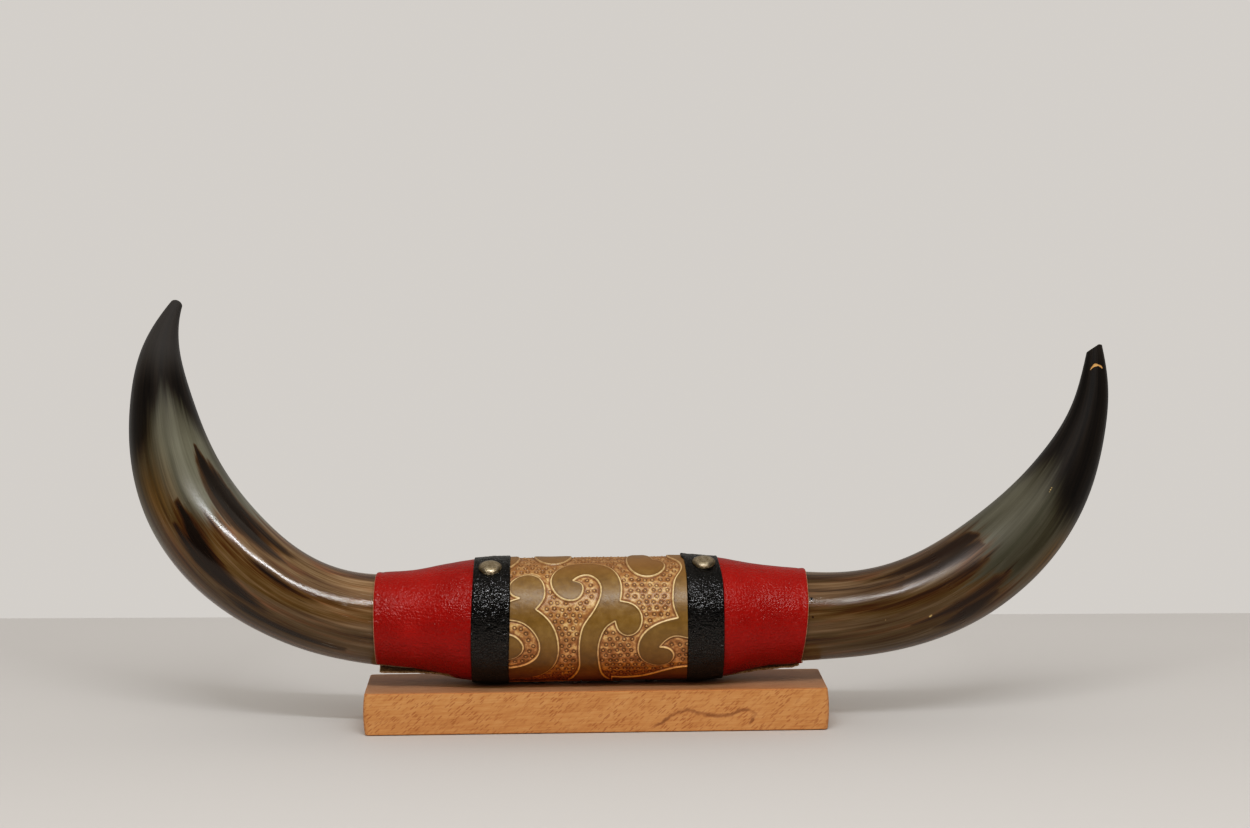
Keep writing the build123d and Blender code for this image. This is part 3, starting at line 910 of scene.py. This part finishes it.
def red_material():
    """Dyed leather with a fine pebble that catches the light in specks, an amber cut edge, and a
    fuzzy brown flesh side."""
    s = Shader("red_leather")
    place, cut, inside = s.place(), s.value("cut"), s.value("inside")
    broad = s.noise(place, 38)
    grain = s.cells(place, 1150)
    fine = s.noise(place, 1400)
    slant = s.turned(place, (0.4, 0.62, 0), (70, 420, 420))
    scuff = s.noise(slant, detail=4, roughness=0.6)
    speck = s.noise(place, 640, detail=1)
    s.colour = s.ramp(broad * 0.6 + fine * 0.4, [
        (0.3, (0.196, 0.003, 0.0006)), (0.5, (0.246, 0.004, 0.001)),
        (0.7, (0.298, 0.0065, 0.003)),
    ])
    patch = s.step(s.noise(place, 60, detail=2), 0.46, 0.62)
    worn = s.step(scuff, 0.58, 0.74) * 0.5 + s.step(speck, 0.54, 0.7) * 0.5
    worn = worn * (0.25 + patch * 0.75)
    s.coat(worn * 0.2, (0.42, 0.1, 0.085))
    suede = s.ramp(fine, [(0.35, (0.26, 0.15, 0.072)), (0.62, (0.52, 0.36, 0.215))])
    s.coat(inside, suede)
    raw = s.ramp(fine, [(0.35, (0.34, 0.18, 0.07)), (0.62, (0.74, 0.56, 0.35))])
    s.coat(s.step(cut, 0.25, 0.75) * (0.55 + inside * 0.45), raw)
    s.set(Base_Color=s.colour)
    bare = s.math("MAXIMUM", inside, cut)
    rough = 0.22 + broad * 0.12 + bare * 0.55
    s.set(Roughness=rough)
    s.set(IOR=1.46, Specular_IOR_Level=0.42)
    height = s.step(grain, 0, 0.5) * 0.3 + fine * 0.15
    height = height + scuff * 1.3 + speck * 1.9
    height = height + bare * fine * 1.5
    s.bump(height, 0.75, 0.00046)
    return s.material


def path_through(*points):
    """A function of x that runs straight between its points."""
    xs, values = zip(*sorted(points))
    return lambda x: np.interp(x, xs, values)


red = red_material()
left_collar = collar_mesh(
    "left_collar_sleeve", -1,
    start=LEFT_STRAP_X - 5,
    profile=[(-67, 40.4), (-80, 39.2), (-99, 36.3), (-118, 33.0), (-131, 32.0), (-150, 30.9)],
    end=node_box("left_collar")[0][0] + 0.2,
    end_shape=lambda angle: 1.2 * (1 - np.cos(np.radians(angle - 75))),
    front_edge=path_through((-141, 143.5), (-126, 147.5), (-113, 150.5), (-95, 152), (-88, 168),
                            (-80, 180)),
    flap_edge=path_through((-143, 34.6), (-137, 34.0), (-116, 33.7), (-108, 33.3), (-100, 32),
                           (-91, 30), (-81, 28.7), (-60, 28.5)),
    seed=21,
)
settle(left_collar, red, "left_collar")
right_collar = collar_mesh(
    "right_collar_sleeve", 1,
    start=RIGHT_STRAP_X + 5,
    profile=[(67, 40.2), (83, 38.4), (100, 35.2), (118, 32.7), (130, 31.6), (146, 30.2)],
    end=node_box("right_collar")[1][0] - 1,
    end_shape=lambda angle: -4.0 * smooth(np.abs(angle), 50, 150) + 1.6 * bell(angle, 150, 4),
    front_edge=path_through((66, 180), (85, 170), (97, 158), (113, 153), (126, 158), (135, 160)),
    flap_edge=path_through((66, 29), (84, 29.1), (96, 30.7), (108, 32.5), (116, 33.2), (128, 34.2),
                           (137, 36.0)),
    seed=33,
)
settle(right_collar, red, "right_collar")


# Straps

STRAP_ROWS, STRAP_COLUMNS = 420, 56


def strap_mesh(name, left_edge, right_edge, lift, seed):
    """A pebbled leather band with rounded edges. Its edges are functions of the angle, and lift
    gives how far it stands off its round, from the angle and the share of its width."""
    angle = np.linspace(0, 360, STRAP_ROWS, endpoint=False)
    across = np.concatenate([[0, 0.004, 0.012], np.linspace(0.025, 0.975, STRAP_COLUMNS),
                             [0.988, 0.996, 1]])
    edge_drop = np.concatenate([[1, 0.62, 0.3], np.zeros(STRAP_COLUMNS), [0.3, 0.62, 1]])
    edge_drop[3], edge_drop[-4] = 0.1, 0.1
    a, t = np.meshgrid(angle, across, indexing="ij")
    x = left_edge(a) + (right_edge(a) - left_edge(a)) * t
    place = ring_points(x, STRAP_RADIUS + 0 * x, a)
    height = 0.17 * wobble(place, 1.3, seed) + 0.14 * wobble(place, 3.6, seed + 1)
    height += 0.22 * wobble(place, 16, seed + 2)
    height += lift(a, t) - 0.25 - edge_drop * 0.9
    outer = ring_points(x, STRAP_RADIUS + height, a)
    outer[..., 2] = np.maximum(outer[..., 2], BLOCK_TOP + 0.02)
    inner_t = np.array([1.0, 0.5, 0.0])
    ia, it = np.meshgrid(angle, inner_t, indexing="ij")
    ix = left_edge(ia) + (right_edge(ia) - left_edge(ia)) * it
    inner = ring_points(ix, CORE_RADIUS - 1.8 + 0 * ix, ia)
    inner[..., 2] = np.maximum(inner[..., 2], BLOCK_TOP + 0.6)
    unrolled = np.stack([x, np.radians(a) * STRAP_RADIUS, 0 * x], -1)
    return band_object(name, outer, inner,
                       {"unrolled": np.concatenate([unrolled, 0 * inner], 1)})


def black_material():
    """Glossy black leather whose pebbles break the highlight into specks."""
    s = Shader("black_leather")
    place = s.place()
    pebble = s.cells(place, 620, feature="SMOOTH_F1")
    crack = s.cells(place, 620, feature="DISTANCE_TO_EDGE")
    lump = s.noise(place, 330)
    fine = s.noise(place, 1900)
    s.colour = s.ramp(lump, [(0.35, (0.0015, 0.0011, 0.0008)), (0.65, (0.005, 0.004, 0.003))])
    arc = s.axis(s.vector("unrolled"), 1)
    low = math.radians(150) * STRAP_RADIUS
    fold = s.band(arc, low - 1.6, low, low + 0.6, low + 2.4)
    fold = fold * s.step(s.noise(place, 240), 0.44, 0.6)
    s.coat(fold * 0.35, (0.16, 0.1, 0.05))
    s.set(Base_Color=s.colour)
    s.set(Roughness=0.13 + fine * 0.1)
    s.set(IOR=1.5, Specular_IOR_Level=0.68)
    height = pebble * -0.5 + s.step(crack, 0, 0.12) * 0.35
    height = height + lump + fine * 0.06
    s.bump(height, 1, 0.00066)
    return s.material


black = black_material()
left_strap = strap_mesh(
    "left_strap_pebbled",
    lambda a: LEFT_STRAP_X - STRAP_WIDTH / 2 + 1.4 - 2.2 * smooth(np.abs(a - 180), 180, 60),
    lambda a: LEFT_STRAP_X + STRAP_WIDTH / 2 + 1.0 - 1.8 * smooth(np.abs(a - 180), 130, 30),
    lambda a, t: -0.7 * smooth(t, 0.6, 0.0),
    41,
)
settle(left_strap, black, "left_strap")
# The left edge of the right strap stands out and up in a small ear at the top.
right_strap = strap_mesh(
    "right_strap_pebbled",
    lambda a: RIGHT_STRAP_X - STRAP_WIDTH / 2 - 0.9 + 1.2 * smooth(np.abs(a - 180), 176, 130)
    - 1.6 * bell(np.abs(a - 180), 174, 5),
    lambda a: RIGHT_STRAP_X + STRAP_WIDTH / 2 - 2.4 + 2.4 * smooth(np.abs(a - 180), 178, 125),
    lambda a, t: -1.5 * smooth(t, 0.2, 1.0) + 0.7 * bell(np.abs(a - 180), 174, 7) * bell(t, 0, 0.12),
    47,
)
settle(right_strap, black, "right_strap")


# Dome nails

NAIL_RISE = 2.6
NAIL_COLUMNS = 72


def nail_mesh(name, node, angle, seed):
    """A spun dome, a little pointed and uneven, whose rim comes down to the strap all round."""
    low, high = node_box(node)
    centre_x = (low[0] + high[0]) / 2
    radius = (high[0] - low[0]) / 2
    steps = np.radians(np.concatenate([np.linspace(0, 80, 26), [84, 87, 90]]))
    around = np.arange(NAIL_COLUMNS) * 2 * math.pi / NAIL_COLUMNS
    s, b = np.meshgrid(steps, around, indexing="ij")
    out = radius * np.sin(s) ** 0.98
    rise = NAIL_RISE * (0.8 * np.cos(s) + 0.2 * (1 - np.sin(s)))
    u, v = out * np.cos(b), out * np.sin(b)
    bruise = wobble(np.stack([u, v, 0 * u], -1), 4.5, seed)
    rise = rise * (1 + 0.05 * bruise)
    surface_drop = STRAP_RADIUS - np.sqrt(STRAP_RADIUS ** 2 - v ** 2)
    lift = STRAP_RADIUS - 0.15 - surface_drop * smooth(out, radius * 0.55, radius) + rise
    a = math.radians(angle)
    outward = np.array([0, -math.sin(a), math.cos(a)])
    forward = np.array([0, math.cos(a), math.sin(a)])
    origin = np.array([centre_x, 0, AXIS_Z])
    points = (origin + u[..., None] * np.array([1.0, 0, 0]) + v[..., None] * forward
              + lift[..., None] * outward)
    foot = points[-1:] - outward * 0.9
    points = np.concatenate([points, foot])
    rows = len(points)
    faces = quads(rows, NAIL_COLUMNS, close_columns=True).tolist()
    faces.append(list(range((rows - 1) * NAIL_COLUMNS, rows * NAIL_COLUMNS)))
    rim = np.concatenate([np.sin(s), np.full((1, NAIL_COLUMNS), 1.1)])
    return mesh_object(name, points, faces, {"rim": rim})


def nail_material():
    """Antiqued metal: polished crown, dark stain towards the rim, and fine scratches."""
    s = Shader("antiqued_nail")
    place, rim = s.place(), s.value("rim")
    cloud = s.noise(place, 420, detail=4)
    scratch = s.noise(s.scaled(place, (300, 2600, 2600)), detail=2)
    polished = s.ramp(cloud, [(0.32, (0.46, 0.37, 0.235)), (0.62, (0.68, 0.58, 0.42))])
    stain = s.step(rim + (cloud - 0.5) * 0.7, 0.7, 0.98)
    worn_rim = s.step(rim + (cloud - 0.5) * 0.2, 0.985, 1.01)
    stain = stain * s.step(worn_rim, 1, 0)
    s.set(Base_Color=s.mix(stain * 0.7, polished, (0.105, 0.062, 0.03)), Metallic=1)
    s.set(Roughness=0.22 + stain * 0.16 + scratch * 0.12)
    s.bump(cloud + scratch * 0.3, 0.22, 0.0005)
    return s.material


nail_metal = nail_material()
left_nail = nail_mesh("left_nail_dome", "left_dome_nail", 26, 61)
settle(left_nail, nail_metal, "left_dome_nail")
right_nail = nail_mesh("right_nail_dome", "right_dome_nail", 21, 67)
settle(right_nail, nail_metal, "right_dome_nail")


# Block and hidden pieces


def beech_material():
    """Oiled beech: warm sides with short slanting ray flecks, one dark growth line on the front,
    and a top gone brown grey towards the back, partly dusty and partly painted light where the
    body shades it."""
    s = Shader("beech")
    place = s.place()
    x, y, z = (s.axis(place, number) for number in range(3))
    lie = s.turned(place, (0, 0.05, 0))
    ring = s.noise(s.scaled(lie, (4, 30, 75)))
    fibre = s.noise(s.scaled(lie, (60, 1100, 1100)))
    slant = s.turned(place, (0, 0.7, 0))
    fleck = s.cells(s.scaled(slant, (170, 560, 880)))
    fleck = s.step(fleck + s.noise(place, 480) * 0.3, 0.58, 0.42)
    patch = s.step(s.noise(place, 55, detail=2), 0.4, 0.6, 0.4, 1)
    cloud = s.noise(s.scaled(slant, (60, 160, 260)))
    s.colour = s.ramp((ring + cloud) * 0.3 + fibre * 0.4, [
        (0.32, (0.37, 0.152, 0.047)), (0.5, (0.47, 0.216, 0.076)),
        (0.68, (0.545, 0.275, 0.112)),
    ])
    s.coat(fleck * patch * 0.56, (0.225, 0.068, 0.015))
    bend = s.node("MapRange", {0: x, 1: 0.033, 2: 0.105})
    line = s.node("FloatCurve", {"Value": bend})
    mapping = line.socket.node.mapping
    profile = mapping.curves[0]
    profile.points[0].location, profile.points[-1].location = (0, 0.03), (1, 0.12)
    for at, height in ((0.12, 0.22), (0.35, 0.5), (0.46, 0.43), (0.7, 0.38), (0.86, 0.5),
                       (0.95, 0.44)):
        profile.points.new(at, height)
    mapping.update()
    uneven = (s.noise(place, 300) - 0.5) * 0.004
    off = s.math("ABSOLUTE", z + uneven + line * -0.027)
    inside = s.band(x, 0.033, 0.04, 0.102, 0.105)
    front = s.step(y, -0.0335, -0.0345)
    hook = x + z * -0.46 + uneven - 0.0967
    hook = s.step(s.math("ABSOLUTE", hook), 0.0016, 0.0004)
    hook = hook * s.band(z, 0.003, 0.006, 0.0115, 0.0125)
    growth = s.step(off, 0.0019, 0.0004) * inside
    growth = s.math("MAXIMUM", growth, hook) * front
    soft = s.step(s.noise(place, 160, detail=2), 0.35, 0.6, 0.45, 1)
    s.coat(growth * soft * 0.8, (0.2, 0.078, 0.026))
    knock = s.step(s.noise(place, 520, detail=2), 0.7, 0.76)
    knock = knock * s.step(x, 0.138, 0.147)
    s.coat(knock * 0.8, (0.08, 0.03, 0.012))
    upward = s.axis(s.node("NewGeometry", output="Normal"), 2)
    # Brown grey on the top faces behind the front strip: partly dusty, partly painted light in the
    # body's shade.
    dust_and_painted_light = s.step(upward, 0.7, 0.98) * s.step(y + ring * 0.02, -0.028, -0.018)
    grey = s.ramp(fibre * 0.6 + ring * 0.4, [
        (0.36, (0.3, 0.155, 0.084)), (0.64, (0.46, 0.275, 0.16))])
    s.coat(dust_and_painted_light * 0.82, grey)
    rim = s.band(upward, 0.15, 0.5, 0.8, 0.97)
    s.coat(rim * 0.6, (0.36, 0.12, 0.026))
    s.set(Base_Color=s.colour)
    s.set(Roughness=0.46 + fibre * 0.14)
    s.set(IOR=1.42)
    s.bump(fibre - fleck * 0.5, 0.3, 0.0004)
    return s.material


def plain_wood_material():
    s = Shader("turned_wood")
    place = s.place()
    fibre = s.noise(s.scaled(place, (30, 500, 500)))
    s.set(Base_Color=s.ramp(fibre, [(0.35, (0.36, 0.21, 0.1)), (0.65, (0.55, 0.37, 0.2))]))
    s.set(Roughness=0.5 + fibre * 0.2)
    s.bump(fibre, 0.2, 0.0004)
    return s.material


def steel_material():
    s = Shader("plain_steel")
    cloud = s.noise(s.place(), 700)
    s.set(Base_Color=s.ramp(cloud, [(0.3, (0.32, 0.32, 0.33)), (0.7, (0.52, 0.52, 0.53))]))
    s.set(Metallic=1, Roughness=0.3 + cloud * 0.2)
    return s.material


def dress(node, material):
    """Give a CAD node that stays its finished material."""
    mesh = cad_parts[node].data
    mesh.materials.clear()
    mesh.materials.append(material)


dress("base_block", beech_material())
plain_wood, steel = plain_wood_material(), steel_material()
for node in ("core", "left_plug", "right_plug", "left_dowel", "right_dowel"):
    dress(node, plain_wood)
for node in ("left_horn_brads", "right_horn_brads", "wrap_tacks", "left_strap_tacks",
             "right_strap_tacks", "base_screw_left", "base_screw_right"):
    dress(node, steel)


# Floor, light and camera


def make_floor():
    """A plain floor, a hair below the block, whose back edge meets the pale surround."""
    side, front, back, slant, height = 6.0, -6.0, 0.422, -0.05, -0.0003
    corners = [(-side, front, height), (side, front, height),
               (side, back + slant * side, height), (-side, back - slant * side, height)]
    mesh = bpy.data.meshes.new("floor")
    mesh.from_pydata(corners, [], [(0, 1, 2, 3)])
    floor = bpy.data.objects.new("floor", mesh)
    bpy.context.scene.collection.objects.link(floor)
    s = Shader("pale_floor")
    s.set(Base_Color=(0.505, 0.482, 0.458), Roughness=0.75)
    mesh.materials.append(s.material)


def make_light(name, place, target, size, watts, colour, reflected=True, roll=0.0):
    """A soft rectangular light. One that isn't reflected leaves no highlight of its own."""
    light = bpy.data.lights.new(name, "AREA")
    light.shape, light.size, light.size_y = "RECTANGLE", *size
    light.energy, light.color = watts, colour
    lamp = bpy.data.objects.new(name, light)
    lamp.location = place
    lamp.rotation_euler = (Vector(target) - Vector(place)).to_track_quat("-Z", "Y").to_euler()
    lamp.rotation_euler.rotate_axis("Z", roll)
    lamp.visible_glossy = reflected
    bpy.context.scene.collection.objects.link(lamp)


def make_camera():
    data = bpy.data.cameras.new("camera")
    data.lens, data.sensor_width = 85, 36
    camera = bpy.data.objects.new("camera", data)
    pitch, yaw, roll = math.radians(5.58), math.radians(1.37), math.radians(-0.49)
    turn = (Matrix.Rotation(-yaw, 4, "Z") @ Matrix.Rotation(math.pi / 2 - pitch, 4, "X")
            @ Matrix.Rotation(roll, 4, "Z"))
    camera.matrix_world = Matrix.Translation((-0.0248, -1.9046, 0.3885)) @ turn
    bpy.context.scene.collection.objects.link(camera)
    bpy.context.scene.camera = camera


def front_to_back(nodes, front, back):
    """A background that goes from one colour in front of the object to another behind it."""
    behind = nodes.axis(nodes.node("TexCoord", output="Generated"), 1)
    share = nodes.node("MapRange", {0: behind, 1: -1, 2: 1})
    return nodes.node("Background", {0: nodes.ramp(share, [(0.4, front), (0.66, back)])})


def make_world():
    """A pale surround for the camera, and a soft light on every matt surface, strongest from the
    wall behind. A glossy surface reflects that wall and a dim room in front of the object."""
    world = bpy.data.worlds.new("studio")
    world.use_nodes = True
    nodes = Nodes(world.node_tree)
    surround = nodes.tree.nodes["Background"]
    nodes.plug((0.63, 0.6, 0.565), surround.inputs[0])
    seen = front_to_back(nodes, (0.026, 0.025, 0.024), (0.33, 0.315, 0.295))
    soft = front_to_back(nodes, (0.38, 0.365, 0.35), (0.95, 0.915, 0.875))
    for kind, colour in (("Diffuse", soft), ("Camera", Field(nodes, surround.outputs[0]))):
        ray = nodes.node("LightPath", output=f"Is {kind} Ray")
        seen = nodes.node("MixShader", {0: ray, 1: seen, 2: colour})
    nodes.plug(seen, nodes.tree.nodes["World Output"].inputs["Surface"])
    bpy.context.scene.world = world


def set_exposure():
    """A photographic curve: shadows a little deeper than a plain display transform gives."""
    view = bpy.context.scene.view_settings
    view.view_transform = "Standard"
    view.use_curve_mapping = True
    curve = view.curve_mapping.curves[3]
    for place in ((0.02, 0.0075), (0.045, 0.028), (0.12, 0.098), (0.4, 0.42)):
        curve.points.new(*place)
    view.curve_mapping.update()


make_floor()
make_camera()
make_world()
WARM, COOL = (1.0, 0.98, 0.95), (0.97, 0.985, 1.0)
KEY_HEIGHT, KEY_REACH = math.radians(48.5), 1.8
make_light("key", (0.03, -KEY_REACH * math.cos(KEY_HEIGHT), 0.1 + KEY_REACH * math.sin(KEY_HEIGHT)),
           (0, 0, 0.1), (1.25, 0.06), 13.0, COOL, roll=-0.19)
make_light("ceiling", (0, -0.62, 1.9), (0, -0.62, 0), (1.7, 1.25), 4, WARM)
make_light("fill", (0, -2.7, 2.3), (0, 0, 0), (5.0, 3.2), 72, WARM, reflected=False)
set_exposure()
